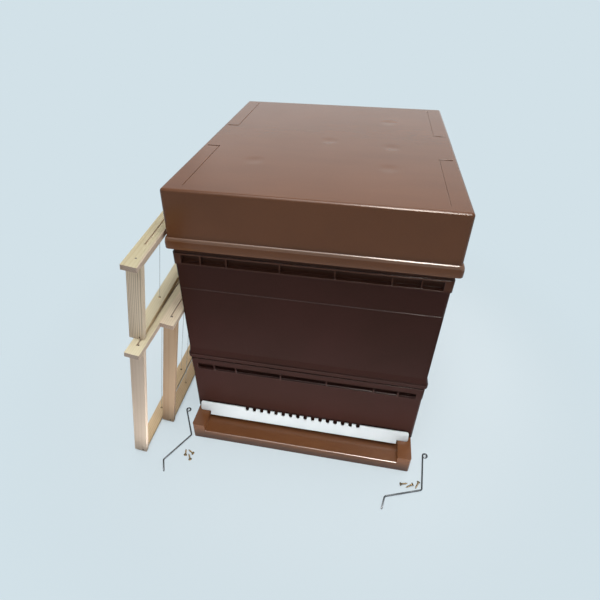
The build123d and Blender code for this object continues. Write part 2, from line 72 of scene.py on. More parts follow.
# Colours of plastic and metal, linear: the darker and the paler tone
ROOF_BROWN = ((0.112, 0.040, 0.0140, 1.0), (0.160, 0.059, 0.0215, 1.0))
# Paler colour of the roof's rounded edges and lip crest: partly rubbed wear, partly painted highlight
ROOF_EDGE_WEAR_AND_PAINTED_HIGHLIGHT = ((0.170, 0.075, 0.034, 1.0), (0.200, 0.092, 0.045, 1.0))
BODY_BROWN = ((0.033, 0.0145, 0.0100, 1.0), (0.049, 0.0180, 0.0152, 1.0))
# Paler brown of the body round the grip channel: painted light over the shade under the roof's lip
BODY_CHANNEL_PAINTED_LIGHT = ((0.073, 0.0315, 0.0200, 1.0), (0.090, 0.0395, 0.0260, 1.0))
# Paler colour of the body's rounded edges: partly rubbed wear, partly painted highlight
BODY_EDGE_WEAR_AND_PAINTED_HIGHLIGHT = ((0.062, 0.027, 0.020, 1.0), (0.080, 0.036, 0.027, 1.0))
FLOOR_BROWN = ((0.164, 0.061, 0.022, 1.0), (0.220, 0.087, 0.033, 1.0))
# Darker brown of the floor's faces that look front and back: painted shade
FLOOR_FRONT_PAINTED_SHADE = ((0.112, 0.042, 0.0155, 1.0), (0.152, 0.060, 0.0230, 1.0))
# Paler colour of the floor's rounded edges: partly rubbed wear, partly painted highlight
FLOOR_EDGE_WEAR_AND_PAINTED_HIGHLIGHT = ((0.200, 0.088, 0.040, 1.0), (0.235, 0.108, 0.052, 1.0))
STRIP_WHITE = ((0.68, 0.73, 0.75, 1.0), (0.73, 0.78, 0.80, 1.0))
HOOK_STEEL = ((0.085, 0.088, 0.094, 1.0), (0.15, 0.154, 0.162, 1.0))
BRIGHT_STEEL = ((0.45, 0.46, 0.47, 1.0), (0.58, 0.58, 0.59, 1.0))
NAIL_STEEL = ((0.10, 0.09, 0.08, 1.0), (0.17, 0.155, 0.14, 1.0))
BRASS = ((0.20, 0.135, 0.075, 1.0), (0.32, 0.22, 0.12, 1.0))

# Colours of pine, linear: from the palest tone to the late wood
PINE_PALE = ((0.62, 0.51, 0.35, 1.0), (0.55, 0.44, 0.28, 1.0), (0.40, 0.28, 0.15, 1.0))
# Pale pine darkened, as painted shade on the top of the leaned super frame's top bar
PINE_PAINTED_SHADE_STRAW = ((0.48, 0.43, 0.28, 1.0), (0.43, 0.37, 0.23, 1.0), (0.31, 0.23, 0.12, 1.0))
# Pale pine brightened, as painted light on the tops of leaned frames' bars
PINE_PAINTED_LIGHT_CREAM = ((0.73, 0.66, 0.46, 1.0), (0.67, 0.59, 0.40, 1.0), (0.48, 0.38, 0.22, 1.0))
# Pale pine brightened further, as painted light on the top of the near brood frame's top bar
PINE_PAINTED_LIGHT_WHITE = ((0.88, 0.76, 0.57, 1.0), (0.81, 0.68, 0.50, 1.0), (0.60, 0.46, 0.30, 1.0))
PINE_PINK = ((0.63, 0.51, 0.41, 1.0), (0.57, 0.45, 0.35, 1.0), (0.43, 0.31, 0.22, 1.0))
# Pink pine darkened, as painted shade on the sides of the far brood frame's top bar
PINE_PINK_PAINTED_SHADE = ((0.51, 0.41, 0.33, 1.0), (0.46, 0.36, 0.28, 1.0), (0.35, 0.25, 0.18, 1.0))
PINE_TAN = ((0.45, 0.32, 0.21, 1.0), (0.40, 0.265, 0.165, 1.0), (0.30, 0.185, 0.10, 1.0))
PINE_GREY = ((0.84, 0.72, 0.56, 1.0), (0.76, 0.63, 0.48, 1.0), (0.42, 0.31, 0.21, 1.0))
PINE_GOLD = ((0.72, 0.55, 0.34, 1.0), (0.64, 0.46, 0.26, 1.0), (0.48, 0.31, 0.16, 1.0))
PINE_END = ((0.50, 0.39, 0.32, 1.0), (0.43, 0.32, 0.25, 1.0), (0.29, 0.20, 0.15, 1.0))

# Masks: their ranges, and the limits for sloping faces and for faces that look one way
RISE = (0.0, 1.0)
FALL = (1.0, 0.0)
SLOPE_LIMITS = (0.985, 0.93)
FACING_LIMITS = (0.6, 0.9)

# Noise patterns: scale, detail and roughness
PLASTIC_CLOUD = (6.0, 4.0, 0.55)
PLASTIC_FLOW = (2.2, 3.0, 0.5)
PLASTIC_WEAR = (14.0, 3.0, 0.5)
PLASTIC_FINE = (650.0, 2.0, 0.6)
STRIP_CLOUD = (16.0, 3.0, 0.5)
STRIP_FINE = (1800.0, 2.0, 0.5)
PINE_FIBRES = (12.0, 4.0, 0.65)
PINE_BANDS = (6.0, 2.0, 0.5)
METAL_CLOUD = (140.0, 3.0, 0.5)
METAL_FINE = (2600.0, 2.0, 0.5)

# Stretch of the patterns that run one way
FLOW_STRETCH = (3.0, 14.0, 3.0)
FIBRE_STRETCH = (90.0, 90.0, 2.0)
BAND_STRETCH = (9.0, 9.0, 0.6)

# Bumps: strength and depth
PLASTIC_BUMP = (0.06, 0.0003)
MARK_BUMP = (0.5, 0.0012)
STRIP_BUMP = (0.1, 0.0002)
PINE_BUMP = (0.30, 0.0005)
METAL_BUMP = (0.15, 0.0001)

# Plastic: shares of the patterns, places of the two tones, and gloss, with slopes polished by hands
FLOW_SHARE = 0.4
FINE_SHARE = 0.35
PLASTIC_STOPS = (0.3, 0.7)
WEAR_SPAN = (0.2, 0.8)
GLOSS_SWING = 0.02
POLISHED = 0.17

# Heights from the roof's foot between which the body is paler, round the grip channel: painted light over
# the shade under the roof's lip
PAINTED_LIGHT_FROM = (-0.0335, -0.0285)
PAINTED_LIGHT_TO = (-0.0025, 0.0095)

# Shallow marks in the roof's top, left by the moulding
SINK_MARKS = ((-0.113, -0.125), (0.110, -0.122), (0.109, 0.139), (0.0, 0.0), (0.115, -0.018))
SINK_RADIUS = 0.022

# White strip and metals: places of the two tones, and roughness
CLOUD_STOPS = (0.35, 0.65)
CLOUD_SPAN = (0.3, 0.7)
STRIP_ROUGHNESS = (0.36, 0.46)
METAL_ROUGHNESS = (0.20, 0.26)

# Pine: growth rings round a pith beside the bar, with fibres along it
PITH = (0.034, 0.021, 0.0)
PITH_SWING = (0.004, 0.006)
PITH_RATE = (3.1, 1.7)
PITH_STEP = 0.37
RING_SCALE = 95.0
RING_WANDER = 5.0
RING_DETAIL = 2.0
RING_DETAIL_SCALE = 0.035
RING_DETAIL_ROUGHNESS = 0.5
LATE_WOOD = (0.55, 0.97)
LATE_SINK = 0.4
FIBRE_SPAN = (0.35, 0.75)
FIBRE_SHARE = 0.35
BAND_SPAN = (0.3, 0.7)
BAND_TONES = (-0.12, 0.24)
WOOD_STOPS = (0.0, 0.35, 1.0)
WOOD_HEIGHTS = (0.0, 0.8)
WOOD_ROUGHNESS = (0.72, 0.56)
WOOD_SPECULAR = 0.3
HUNG_CONTRAST = 0.6

# Leaned frames' wood: tones on top and at the sides, strength of grain and closeness of rings; where top
# and sides differ, the tones hold painted light and shade
LOOSE_WOOD = {
    "loose_super_top_bar": (PINE_PAINTED_SHADE_STRAW, PINE_PINK, 0.35, RING_SCALE),
    "loose_super_front_side_bar": (PINE_GREY, PINE_GREY, 0.9, 190.0),
    "loose_super_back_side_bar": (PINE_GREY, PINE_GREY, 0.8, 140.0),
    "loose_super_bottom_bar": (PINE_PAINTED_LIGHT_CREAM, PINE_GOLD, 0.3, RING_SCALE),
    "loose_brood_far_top_bar": (PINE_PAINTED_LIGHT_CREAM, PINE_PINK_PAINTED_SHADE, 0.3, RING_SCALE),
    "loose_brood_far_front_side_bar": (PINE_PINK, PINE_PINK, 0.25, 80.0),
    "loose_brood_far_back_side_bar": (PINE_PINK, PINE_PINK, 0.5, RING_SCALE),
    "loose_brood_far_bottom_bar": (PINE_GOLD, PINE_GOLD, 0.3, RING_SCALE),
    "loose_brood_near_top_bar": (PINE_PAINTED_LIGHT_WHITE, PINE_PINK, 0.4, RING_SCALE),
    "loose_brood_near_front_side_bar": (PINE_TAN, PINE_TAN, 0.25, 80.0),
    "loose_brood_near_back_side_bar": (PINE_TAN, PINE_TAN, 0.4, RING_SCALE),
    "loose_brood_near_bottom_bar": (PINE_GOLD, PINE_GOLD, 0.4, RING_SCALE),
}

# Frames: their kinds, bars and the sizes that nails, eyelets and grain follow
HUNG_KINDS = ("brood", "super")
LOOSE_KINDS = ("loose_super", "loose_brood_far", "loose_brood_near")
BARS = ("top_bar", "front_side_bar", "back_side_bar", "bottom_bar")
LUG_THICK = 0.009
LUG_LENGTH = 0.0175
SIDE_BAR_THICK = 0.009
BOTTOM_BAR_THICK = 0.008
TOP_BAR_THICK = 0.012
WIRE_PLACES = (-0.115, 0.0, 0.115)

# Limits under which two faces count as square and a direction counts as upright
SQUARE_LIMIT = 0.1
UPRIGHT_LIMIT = 0.01

# Materials of the CAD nodes, by name and by how the name ends
NAMED_MATERIALS = {
    "roof": "roof",
    "inner_cover": "cover",
    "feed_hole_plug": "cover",
    "floor_base": "floor",
    "entrance_reducer": "strip",
}
ENDING_MATERIALS = {"_wires": "wire", "_hook": "hook", "_screws": "brass", "_rack": "rack"}

# Rounded edges: width by kind of piece, then how the bevel is made
FLOOR_ROUND = 0.0014
WALL_ROUND = 0.00045
WOOD_ROUND = 0.0006
RACK_ROUND = 0.0003
STRIP_ROUND = 0.0005
COVER_ROUND = 0.0008
EDGE_SEGMENTS = 2
EDGE_ANGLE = math.radians(38)
WELD_REACH = 0.00001

# Hooks: corners from the floor's front corner on that side, then the wire and its eye
HOOK_CORNERS = {
    "left_hook": ((-0.0385, 0.0585), (-0.006, 0.0), (-0.0405, -0.0646), (-0.0299, -0.0877)),
    "right_hook": ((0.0292, 0.0408), (0.0232, -0.034), (-0.0449, -0.0591), (-0.0502, -0.0837)),
}
HOOK_RADIUS = 0.0015
HOOK_SIDES = 14
HOOK_BEND = 0.005
HOOK_BEND_STEPS = 8
HOOK_EYE = 0.0042
HOOK_EYE_ARC = math.radians(290)
HOOK_EYE_STEPS = 22
HOOK_END_REACH = 0.35
HOOK_END_SHARE = 0.7

# Screws: head, shank, thread and cross recess
HEAD_RADIUS = 0.0035
HEAD_DOME = 0.0003
HEAD_DOME_SHARE = 0.93
HEAD_RIM = 0.0006
HEAD_BAND = 0.0009
SHANK_RADIUS = 0.0016
SHANK_PLAIN = 0.0015
POINT_LENGTH = 0.004
POINT_END = 0.0004
POINT_BLUNT = 0.12
POINT_BAND = 0.0004
THREAD_PITCH = 0.0015
THREAD_DEPTH = 0.00042
THREAD_SHARPNESS = 1.5
THREAD_SIDES = 20
THREAD_STEPS = 6
RECESS_REACH = 0.62
RECESS_WIDTH = 0.17
RECESS_DEPTH = 0.0012
RECESS_TAPER = 0.7

# Nails and eyelets: rows of radius and height over the wood, then their places in a frame
NAIL_ROWS = ((0.0015, -0.0003), (0.0015, 0.0002), (0.001125, 0.00036), (0.00045, 0.0004))
EYELET_OUTSIDE = ((0.0021, -0.0002), (0.0021, 0.00024), (0.00168, 0.0006))
EYELET_BORE = ((0.00125, 0.0006), (0.0010, 0.0003), (0.0010, -0.0002))
DISC_SIDES = 14
TOP_NAIL_ASIDE = 0.0018
LOW_NAIL_ASIDE = 0.0050
NAIL_INSET = 0.0044

# Roll of plastic round the roof's foot
ROOF_CORNER = 0.007
LIP_CORNER = 0.0035
LIP_CORNER_STEPS = 8
LIP_PROUD = 0.0033
LIP_SKIN = 0.0003
LIP_TUCK = LIP_PROUD / 3
LIP_SHOULDER = 0.0098
LIP_TOP = 0.0194
LIP_ARC_STEPS = 7
LIP_FOOT_ROUND = 0.0004
# Slope of the crest's faces that take the paler edge colour, partly rubbed wear and partly painted
# highlight
LIP_CREST = (0.25, 0.97)
CORNER_SIGNS = ((1, 1), (-1, 1), (-1, -1), (1, -1))

# Angles above which an edge of a piece stays sharp
SMOOTH_ANGLE = math.radians(40)
SCREW_SMOOTH_ANGLE = math.radians(35)

# Stage floor: its backdrop colour, the light it gives back, and the shadow it keeps near the hive
BACKDROP = (0.645, 0.753, 0.807, 1.0)
FAR_BOUNCE = (0.45, 0.48, 0.50, 1.0)
NEAR_BOUNCE = (0.84, 0.90, 0.93, 1.0)
STAGE_HALF = 30.0
STAGE_LEVEL = -0.0003
NEAR_FLOOR = (0.28, 0.80)
SHADOW_SHARE = 0.30
CONTACT_REACH = 0.02
CONTACT_SAMPLES = 8
CONTACT_SPAN = (0.1, 0.7)
CONTACT_SHADE = (0.25, 1.0)

# Sky: fill light from front to back, leaning to the right
FILL_COLOUR = (1.0, 0.985, 0.97, 1.0)
FILL_SPAN = (-0.5, 0.6)
FILL_DEPTH = (0.04, 0.95)
SIDE_SPAN = (-1.0, 1.0)
SIDE_LEAN = 0.60

# Lamps: place, aim, width and height, watts, tint, and whether they light matte and glossy rays
PLAIN_LIGHT = (1.0, 1.0, 1.0)
WARM_LIGHT = (1.0, 0.89, 0.80)
CREAM_LIGHT = (1.0, 0.95, 0.88)
LAMPS = {
    "overhead": ((0.15, -0.25, 3.2), (0.05, -0.1, 0.3), (2.2, 2.0), 69.0, PLAIN_LIGHT, True, True),
    "back": ((0.1, 2.3, 1.15), (0.0, 0.2, 0.45), (2.6, 1.5), 5.5, WARM_LIGHT, True, True),
    "high_front": ((-0.25, -1.35, 1.7), (-0.20, -0.30, 0.25), (0.7, 0.6), 5.2, PLAIN_LIGHT, True, False),
    "card_front": ((0.03, -0.42, 0.008), (0.03, -0.415, 0.4), (0.60, 0.14), 1.6, PLAIN_LIGHT, True, False),
    "card_left": ((-0.53, -0.60, 0.008), (-0.50, -0.58, 0.4), (0.40, 0.30), 0.48, PLAIN_LIGHT, True, False),
    "gleam_right": ((0.43, -0.98, 1.80), (0.17, -0.25, 0.4), (0.50, 1.0), 54.0, CREAM_LIGHT, False, True),
    "gleam_wide": ((-0.31, -0.97, 1.80), (-0.1, -0.25, 0.4), (1.1, 0.9), 8.0, CREAM_LIGHT, False, True),
}


# Node helpers
def add(tree, kind, sockets=None, **settings):
    node = tree.nodes.new(kind)
    for key, value in settings.items():
        setattr(node, key, value)
    for socket, value in (sockets or {}).items():
        if isinstance(value, bpy.types.NodeSocket):
            tree.links.new(value, node.inputs[socket])
        else:
            node.inputs[socket].default_value = value
    return node


def new_material(name):
    material = bpy.data.materials.new(name)
    material.use_nodes = True
    material.node_tree.nodes.clear()
    return material, material.node_tree


def new_shader(name):
    material, tree = new_material(name)
    shader = add(tree, "ShaderNodeBsdfPrincipled")
    add(tree, "ShaderNodeOutputMaterial", {"Surface": shader.outputs["BSDF"]})
    return material, tree, shader


def object_coordinates(tree):
    return add(tree, "ShaderNodeTexCoord").outputs["Object"]


def split(tree, vector):
    return add(tree, "ShaderNodeSeparateXYZ", {"Vector": vector}).outputs


def scaled(tree, vector, scale):
    return add(tree, "ShaderNodeMapping", {"Vector": vector, "Scale": scale}).outputs["Vector"]


def noise(tree, vector, pattern):
    scale, detail, roughness = pattern
    sockets = {"Vector": vector, "Scale": scale, "Detail": detail, "Roughness": roughness}
    return add(tree, "ShaderNodeTexNoise", sockets).outputs["Fac"]


def spread(tree, value, source, target, smooth=False):
    sockets = {"Value": value, "From Min": source[0], "From Max": source[1]}
    sockets.update({"To Min": target[0], "To Max": target[1]})
    kind = "SMOOTHSTEP" if smooth else "LINEAR"
    return add(tree, "ShaderNodeMapRange", sockets, interpolation_type=kind).outputs["Result"]


def maths(tree, operation, first, second=0.0):
    return add(tree, "ShaderNodeMath", {0: first, 1: second}, operation=operation).outputs[0]


def vector_maths(tree, operation, first, second, output="Vector"):
    sockets = {0: first, 1: second}
    return add(tree, "ShaderNodeVectorMath", sockets, operation=operation).outputs[output]


def blend_values(tree, share, first, second):
    return add(tree, "ShaderNodeMix", {"Factor": share, "A": first, "B": second}).outputs["Result"]


def blend_colours(tree, share, first, second):
    node = add(tree, "ShaderNodeMix", data_type="RGBA")
    sockets = [socket for socket in node.inputs if socket.type == "RGBA"]
    tree.links.new(share, node.inputs["Factor"])
    tree.links.new(first, sockets[0])
    tree.links.new(second, sockets[1])
    return [socket for socket in node.outputs if socket.type == "RGBA"][0]


def ramp(tree, value, places, colours):
    node = add(tree, "ShaderNodeValToRGB", {"Fac": value})
    elements = node.color_ramp.elements
    while len(elements) < len(places):
        elements.new(0.5)
    for element, place, colour in zip(elements, places, colours):
        element.position = place
        element.color = colour
    return node.outputs["Color"]


def bump(tree, height, form, normal=None):
    strength, distance = form
    sockets = {"Height": height, "Strength": strength, "Distance": distance}
    if normal is not None:
        sockets["Normal"] = normal
    return add(tree, "ShaderNodeBump", sockets).outputs["Normal"]


def surface_normal(tree):
    return add(tree, "ShaderNodeNewGeometry").outputs["Normal"]


def facing(tree, direction):
    along = vector_maths(tree, "DOT_PRODUCT", surface_normal(tree), direction, "Value")
    return spread(tree, maths(tree, "ABSOLUTE", along), FACING_LIMITS, RISE)


def sloping(tree):
    sides = add(tree, "ShaderNodeVectorMath", {0: surface_normal(tree)}, operation="ABSOLUTE")
    axes = split(tree, sides.outputs["Vector"])
    flattest = maths(tree, "MAXIMUM", axes["X"], axes["Y"])
    flattest = maths(tree, "MAXIMUM", flattest, axes["Z"])
    return spread(tree, flattest, SLOPE_LIMITS, RISE)


def finish_shader(tree, shader, colour, roughness, normal):
    tree.links.new(colour, shader.inputs["Base Color"])
    tree.links.new(roughness, shader.inputs["Roughness"])
    tree.links.new(normal, shader.inputs["Normal"])


# Plastics
def soft_spots(tree, place, spots, level, radius):
    strongest = None
    for x, y in spots:
        distance = vector_maths(tree, "DISTANCE", place, (x, y, level), "Value")
        spot = spread(tree, distance, (0.0, radius), FALL, smooth=True)
        strongest = spot if strongest is None else maths(tree, "MAXIMUM", strongest, spot)
    return strongest


# Mask, by height from the roof's foot, for the painted light round the grip channel
def channel_painted_light_mask(tree, place):
    height = maths(tree, "SUBTRACT", split(tree, place)["Z"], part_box("roof")[0].z)
    above = spread(tree, height, PAINTED_LIGHT_FROM, RISE)
    below = spread(tree, height, PAINTED_LIGHT_TO, FALL)
    return maths(tree, "MULTIPLY", above, below)


def moulded_plastic(name, browns, gloss, specular, marks=(), rim=None, front=None, slope_specular=None):
    material, tree, shader = new_shader(name)
    place = object_coordinates(tree)
    cloud = noise(tree, place, PLASTIC_CLOUD)
    flow = noise(tree, scaled(tree, place, FLOW_STRETCH), PLASTIC_FLOW)
    wear = noise(tree, place, PLASTIC_WEAR)
    fine = noise(tree, place, PLASTIC_FINE)
    tone = blend_values(tree, FLOW_SHARE, cloud, flow)
    tone = blend_values(tree, FINE_SHARE, tone, fine)
    colour = ramp(tree, tone, PLASTIC_STOPS, browns)
    # Round the grip channel the body turns paler: painted light over the shade under the roof's lip
    if rim:
        painted_light_colour = ramp(tree, tone, PLASTIC_STOPS, rim)
        colour = blend_colours(tree, channel_painted_light_mask(tree, place), colour, painted_light_colour)
    # Faces that look front and back take a darker brown: painted shade
    if front:
        painted_shade_colour = ramp(tree, tone, PLASTIC_STOPS, front)
        colour = blend_colours(tree, facing(tree, (0.0, 1.0, 0.0)), colour, painted_shade_colour)
    slope = sloping(tree)
    dull = spread(tree, wear, WEAR_SPAN, (gloss - GLOSS_SWING, gloss + GLOSS_SWING))
    roughness = blend_values(tree, slope, dull, POLISHED)
    normal = bump(tree, fine, PLASTIC_BUMP)
    if marks:
        dip = soft_spots(tree, place, marks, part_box("roof")[1].z, SINK_RADIUS)
        normal = bump(tree, spread(tree, dip, RISE, FALL), MARK_BUMP, normal)
    shader.inputs["Specular IOR Level"].default_value = specular
    if slope_specular:
        shine = blend_values(tree, slope, specular, slope_specular)
        tree.links.new(shine, shader.inputs["Specular IOR Level"])
    finish_shader(tree, shader, colour, roughness, normal)
    return material


def white_plastic():
    material, tree, shader = new_shader("white_strip")
    place = object_coordinates(tree)
    cloud = noise(tree, place, STRIP_CLOUD)
    fine = noise(tree, place, STRIP_FINE)
    colour = ramp(tree, cloud, CLOUD_STOPS, STRIP_WHITE)
    roughness = spread(tree, cloud, CLOUD_SPAN, STRIP_ROUGHNESS)
    finish_shader(tree, shader, colour, roughness, bump(tree, fine, STRIP_BUMP))
    return material


# Pine
def grain(tree, vector, contrast, rings_scale=RING_SCALE):
    sockets = {"Vector": vector, "Scale": rings_scale, "Distortion": RING_WANDER, "Detail": RING_DETAIL}
    sockets.update({"Detail Scale": RING_DETAIL_SCALE, "Detail Roughness": RING_DETAIL_ROUGHNESS})
    form = {"wave_type": "RINGS", "rings_direction": "Z", "wave_profile": "SAW"}
    rings = add(tree, "ShaderNodeTexWave", sockets, **form).outputs["Fac"]
    fibres = noise(tree, scaled(tree, vector, FIBRE_STRETCH), PINE_FIBRES)
    bands = noise(tree, scaled(tree, vector, BAND_STRETCH), PINE_BANDS)
    late = spread(tree, rings, LATE_WOOD, (0.0, contrast))
    fibre_tone = spread(tree, fibres, FIBRE_SPAN, (0.0, FIBRE_SHARE * contrast))
    tone = maths(tree, "ADD", late, fibre_tone)
    tone = maths(tree, "ADD", tone, spread(tree, bands, BAND_SPAN, BAND_TONES))
    height = maths(tree, "SUBTRACT", fibres, maths(tree, "MULTIPLY", late, LATE_SINK))
    return tone, height


def wood_colour(tree, tone, tones):
    return ramp(tree, tone, WOOD_STOPS, tones)


def finish_pine(tree, shader, colour, height):
    roughness = spread(tree, height, WOOD_HEIGHTS, WOOD_ROUGHNESS)
    shader.inputs["Specular IOR Level"].default_value = WOOD_SPECULAR
    finish_shader(tree, shader, colour, roughness, bump(tree, height, PINE_BUMP))


def bar_axis(obj):
    faces = sorted(obj.data.polygons, key=lambda face: -face.area)
    broad = faces[0].normal
    narrow = next(face.normal for face in faces if abs(face.normal.dot(broad)) < SQUARE_LIMIT)
    return broad.cross(narrow).normalized()


def middle_of(obj):
    low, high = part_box(obj.get("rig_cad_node"))
    return (low + high) / 2


def along_bar(tree, obj, seed):
    turn = bar_axis(obj).to_track_quat("Z", "Y").to_euler()
    sockets = {"Vector": object_coordinates(tree), "Location": middle_of(obj), "Rotation": turn}
    local = add(tree, "ShaderNodeMapping", sockets, vector_type="TEXTURE").outputs["Vector"]
    aside = PITH_SWING[0] * math.sin(PITH_RATE[0] * seed)
    behind = PITH_SWING[1] * math.cos(PITH_RATE[1] * seed)
    shift = Vector(PITH) + Vector((aside, behind, PITH_STEP * seed))
    return vector_maths(tree, "ADD", local, shift)


def bar_pine(name, obj, seed):
    top_tones, side_tones, contrast, rings_scale = LOOSE_WOOD[name]
    material, tree, shader = new_shader(f"{name}_pine")
    tone, height = grain(tree, along_bar(tree, obj, seed), contrast, rings_scale)
    side_colour = wood_colour(tree, tone, side_tones)
    top_colour = wood_colour(tree, tone, top_tones)
    end_colour = wood_colour(tree, tone, PINE_END)
    # Top faces take the top tones and the other faces the side tones: painted light and shade where they
    # differ
    colour = blend_colours(tree, facing(tree, (0.0, 0.0, 1.0)), side_colour, top_colour)
    colour = blend_colours(tree, facing(tree, bar_axis(obj)), colour, end_colour)
    finish_pine(tree, shader, colour, height)
    return material


def hung_pine(name, obj):
    kind = name.split("_")[0]
    frame_low, frame_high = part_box(f"{kind}_frame_1")
    lug_level = frame_high.z - LUG_THICK
    end_face = (frame_high.y - frame_low.y) / 2 - LUG_LENGTH - SIDE_BAR_THICK
    material, tree, shader = new_shader(f"{name}_pine")
    place = object_coordinates(tree)
    shift = Vector(PITH) - Vector((middle_of(obj).x, 0.0, 0.0))
    standing = vector_maths(tree, "ADD", place, shift)
    sockets = {"Vector": standing, "Rotation": (math.radians(90), 0.0, 0.0)}
    lying = add(tree, "ShaderNodeMapping", sockets).outputs["Vector"]
    axes = split(tree, place)
    beyond = maths(tree, "GREATER_THAN", maths(tree, "ABSOLUTE", axes["Y"]), end_face)
    below = maths(tree, "LESS_THAN", axes["Z"], lug_level)
    upright = maths(tree, "MULTIPLY", beyond, below)
    along_tone, along_height = grain(tree, lying, HUNG_CONTRAST)
    up_tone, up_height = grain(tree, standing, HUNG_CONTRAST)
    along_colour = wood_colour(tree, along_tone, PINE_PALE)
    up_colour = wood_colour(tree, up_tone, PINE_PINK)
    colour = blend_colours(tree, upright, along_colour, up_colour)
    height = blend_values(tree, upright, along_height, up_height)
    finish_pine(tree, shader, colour, height)
    return material


# Metals
def metal(name, tones):
    material, tree, shader = new_shader(name)
    place = object_coordinates(tree)
    cloud = noise(tree, place, METAL_CLOUD)
    fine = noise(tree, place, METAL_FINE)
    colour = ramp(tree, cloud, CLOUD_STOPS, tones)
    roughness = spread(tree, cloud, CLOUD_SPAN, METAL_ROUGHNESS)
    shader.inputs["Metallic"].default_value = 1.0
    finish_shader(tree, shader, colour, roughness, bump(tree, fine, METAL_BUMP))
    return material


materials = {
    "roof": moulded_plastic("roof_plastic", ROOF_BROWN, gloss=0.25, specular=0.28, marks=SINK_MARKS),
    # Edge materials: paler colours, partly rubbed wear and partly painted highlight, with stronger gloss
    "roof_edge_wear_and_highlight": moulded_plastic("roof_edge_wear_and_highlight", ROOF_EDGE_WEAR_AND_PAINTED_HIGHLIGHT, gloss=0.20, specular=0.6),
    "cover": moulded_plastic("cover_plastic", ROOF_BROWN, gloss=0.42, specular=0.2),
    # The body is paler round the grip channel: painted light
    "body": moulded_plastic("body_plastic", BODY_BROWN, gloss=0.25, specular=0.05, rim=BODY_CHANNEL_PAINTED_LIGHT),
    "body_edge_wear_and_highlight": moulded_plastic("body_edge_wear_and_highlight", BODY_EDGE_WEAR_AND_PAINTED_HIGHLIGHT, gloss=0.20, specular=0.42),
    # The floor's front and back faces take a darker brown: painted shade
    "floor": moulded_plastic(
        "floor_plastic", FLOOR_BROWN, gloss=0.21, specular=0.40, front=FLOOR_FRONT_PAINTED_SHADE, slope_specular=1.0
    ),
    "floor_edge_wear_and_highlight": moulded_plastic("floor_edge_wear_and_highlight", FLOOR_EDGE_WEAR_AND_PAINTED_HIGHLIGHT, gloss=0.20, specular=0.9),
    "strip": white_plastic(),
    "hook": metal("hook_steel", HOOK_STEEL),
    "wire": metal("frame_wire", BRIGHT_STEEL),
    "rack": metal("rack_steel", BRIGHT_STEEL),
    "nail": metal("nail_steel", NAIL_STEEL),
    "brass": metal("screw_brass", BRASS),
}


# Materials and rounded edges of the CAD nodes
def material_for(name, obj, seed):
    if name in LOOSE_WOOD:
        return bar_pine(name, obj, seed)
    if name in NAMED_MATERIALS:
        return materials[NAMED_MATERIALS[name]]
    for ending, kind in ENDING_MATERIALS.items():
        if name.endswith(ending):
            return materials[kind]
    if "_frame_" in name:
        return hung_pine(name, obj)
    return materials["body"]


# Bevel faces take a paler edge colour: partly rubbed wear, partly painted highlight
def edge_material_for(name):
    if name in ("roof", "inner_cover", "feed_hole_plug"):
        return materials["roof_edge_wear_and_highlight"]
    if name == "floor_base":
        return materials["floor_edge_wear_and_highlight"]
    if name.endswith("_wall"):
        return materials["body_edge_wear_and_highlight"]
    return None


def edge_round(name):
    if name.endswith(("_wires", "_hook", "_screws")):
        return None
    if name == "floor_base":
        return FLOOR_ROUND
    if name.endswith("_wall"):
        return WALL_ROUND
    if name.startswith("loose_") or "_frame_" in name:
        return WOOD_ROUND
    if name.endswith("_rack"):
        return RACK_ROUND
    if name == "entrance_reducer":
        return STRIP_ROUND
    return COVER_ROUND


def soften(name, obj, width, edge_slot):
    weld = obj.modifiers.new("weld", "WELD")
    weld.merge_threshold = WELD_REACH
    edge = obj.modifiers.new("edge", "BEVEL")
    edge.width = width
    edge.segments = EDGE_SEGMENTS
    edge.limit_method = "ANGLE"
    edge.angle_limit = EDGE_ANGLE
    edge.use_clamp_overlap = not name.endswith("_wall")
    edge.material = edge_slot
    if name == "floor_base":
        even = obj.modifiers.new("even", "WEIGHTED_NORMAL")
        even.keep_sharp = True
    else:
        edge.harden_normals = True


def dress_nodes():
    for seed, (name, obj) in enumerate(sorted(nodes.items())):
        obj.data.materials.clear()
        obj.data.materials.append(material_for(name, obj, seed))
        edge_material = edge_material_for(name)
        if edge_material:
            obj.data.materials.append(edge_material)
        width = edge_round(name)
        if width:
            soften(name, obj, width, 1 if edge_material else 0)


# Mesh helpers
def new_piece(name, bm, material, body, smooth_angle=SMOOTH_ANGLE):
    bmesh.ops.recalc_face_normals(bm, faces=bm.faces)
    mesh = bpy.data.meshes.new(name)
    bm.to_mesh(mesh)
    bm.free()
    mesh.materials.append(material)
    for face in mesh.polygons:
        face.use_smooth = True
    mesh.set_sharp_from_angle(angle=smooth_angle)
    piece = bpy.data.objects.new(name, mesh)
    bpy.context.scene.collection.objects.link(piece)
    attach(piece, body)
    return piece


def axes_across(direction):
    side = direction.cross(Vector((0.0, 0.0, 1.0)))
    if side.length < UPRIGHT_LIMIT:
        side = direction.cross(Vector((0.0, 1.0, 0.0)))
    side.normalize()
    return side, side.cross(direction).normalized()


def ring_of(bm, centre, axes, radius, sides):
    across, up = axes
    ring = []
    for index in range(sides):
        angle = 2 * math.pi * index / sides
        point = centre + across * (radius * math.cos(angle))
        ring.append(bm.verts.new(point + up * (radius * math.sin(angle))))
    return ring


def join_rings(bm, first, second):
    count = len(first)
    for index in range(count):
        after = (index + 1) % count
        bm.faces.new((first[index], first[after], second[after], second[index]))


def ring_edges(bm, ring):
    return [bm.edges.get(pair) for pair in zip(ring, ring[1:] + ring[:1])]


def join_rows(bm, rings):
    for first, second in zip(rings, rings[1:]):
        join_rings(bm, first, second)


